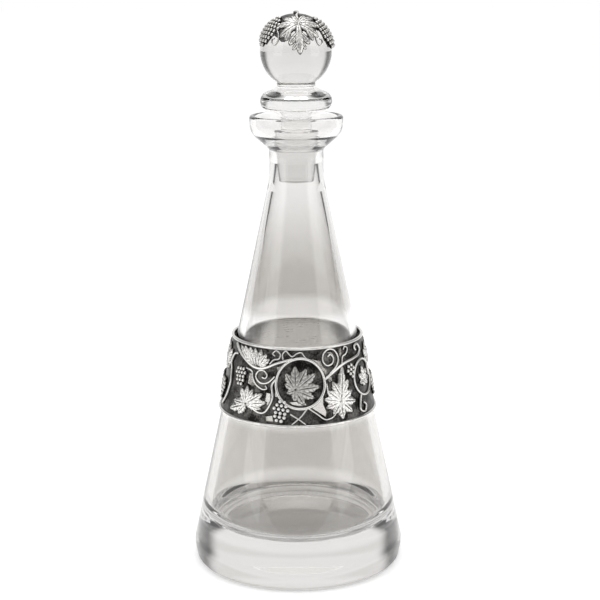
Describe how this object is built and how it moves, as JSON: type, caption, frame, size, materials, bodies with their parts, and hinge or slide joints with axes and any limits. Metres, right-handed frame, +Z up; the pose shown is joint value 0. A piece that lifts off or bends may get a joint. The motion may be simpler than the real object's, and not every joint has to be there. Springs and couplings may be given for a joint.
{
  "type": "decanter",
  "caption": "Tall conical glass decanter with a cupped neck, a lift-out ball stopper, a pewter grapevine band round the body and a matching leaf cap on the ball.",
  "frame": {"origin": "centre of the foot ring, on the table", "axes": "+Z up along the decanter's axis, -Y towards the front of the ornament"},
  "size_m": [0.1246, 0.1246, 0.3232],
  "materials": {
    "glass": "clear, polished, with a ground plug and seat",
    "pewter": "antiqued pewter: rubbed bright on the high spots and nearly black in the hollows",
    "cement": "clear hard cement"
  },
  "bodies": {
    "decanter": {"vessel": "glass", "band_cement": "cement", "band_grapes_edge_back": "pewter", "band_grapes_edge_front": "pewter", "band_grapes_front_back": "pewter", "band_grapes_front_front": "pewter", "band_grapes_left_back": "pewter", "band_grapes_left_front": "pewter", "band_grapes_right_back": "pewter", "band_grapes_right_front": "pewter", "band_grapes_side_back": "pewter", "band_grapes_side_front": "pewter", "band_leaf_edge_back": "pewter", "band_leaf_edge_front": "pewter", "band_leaf_lower_left_back": "pewter", "band_leaf_lower_left_front": "pewter", "band_leaf_right_back": "pewter", "band_leaf_right_front": "pewter", "band_leaf_ring_back": "pewter", "band_leaf_ring_front": "pewter", "band_leaf_side_back": "pewter", "band_leaf_side_front": "pewter", "band_leaf_small_ring_back": "pewter", "band_leaf_small_ring_front": "pewter", "band_leaf_upper_left_back": "pewter", "band_leaf_upper_left_front": "pewter", "band_lower_rim": "pewter", "band_sleeve": "pewter", "band_upper_rim": "pewter", "band_vine_back": "pewter", "band_vine_front": "pewter"},
    "stopper": {"stopper": "glass", "cap_cement": "cement", "cap_grapes_back_left": "pewter", "cap_grapes_back_right": "pewter", "cap_grapes_left": "pewter", "cap_grapes_right": "pewter", "cap_ground": "pewter", "cap_leaf_back": "pewter", "cap_leaf_front": "pewter", "cap_tendrils": "pewter", "cap_twig": "pewter"}
  },
  "joints": [
    {"name": "stopper_lift", "type": "slide", "parent": "decanter", "child": "stopper", "axis": [0, 0, 1], "range_m": [0, 0.075]}
  ]
}
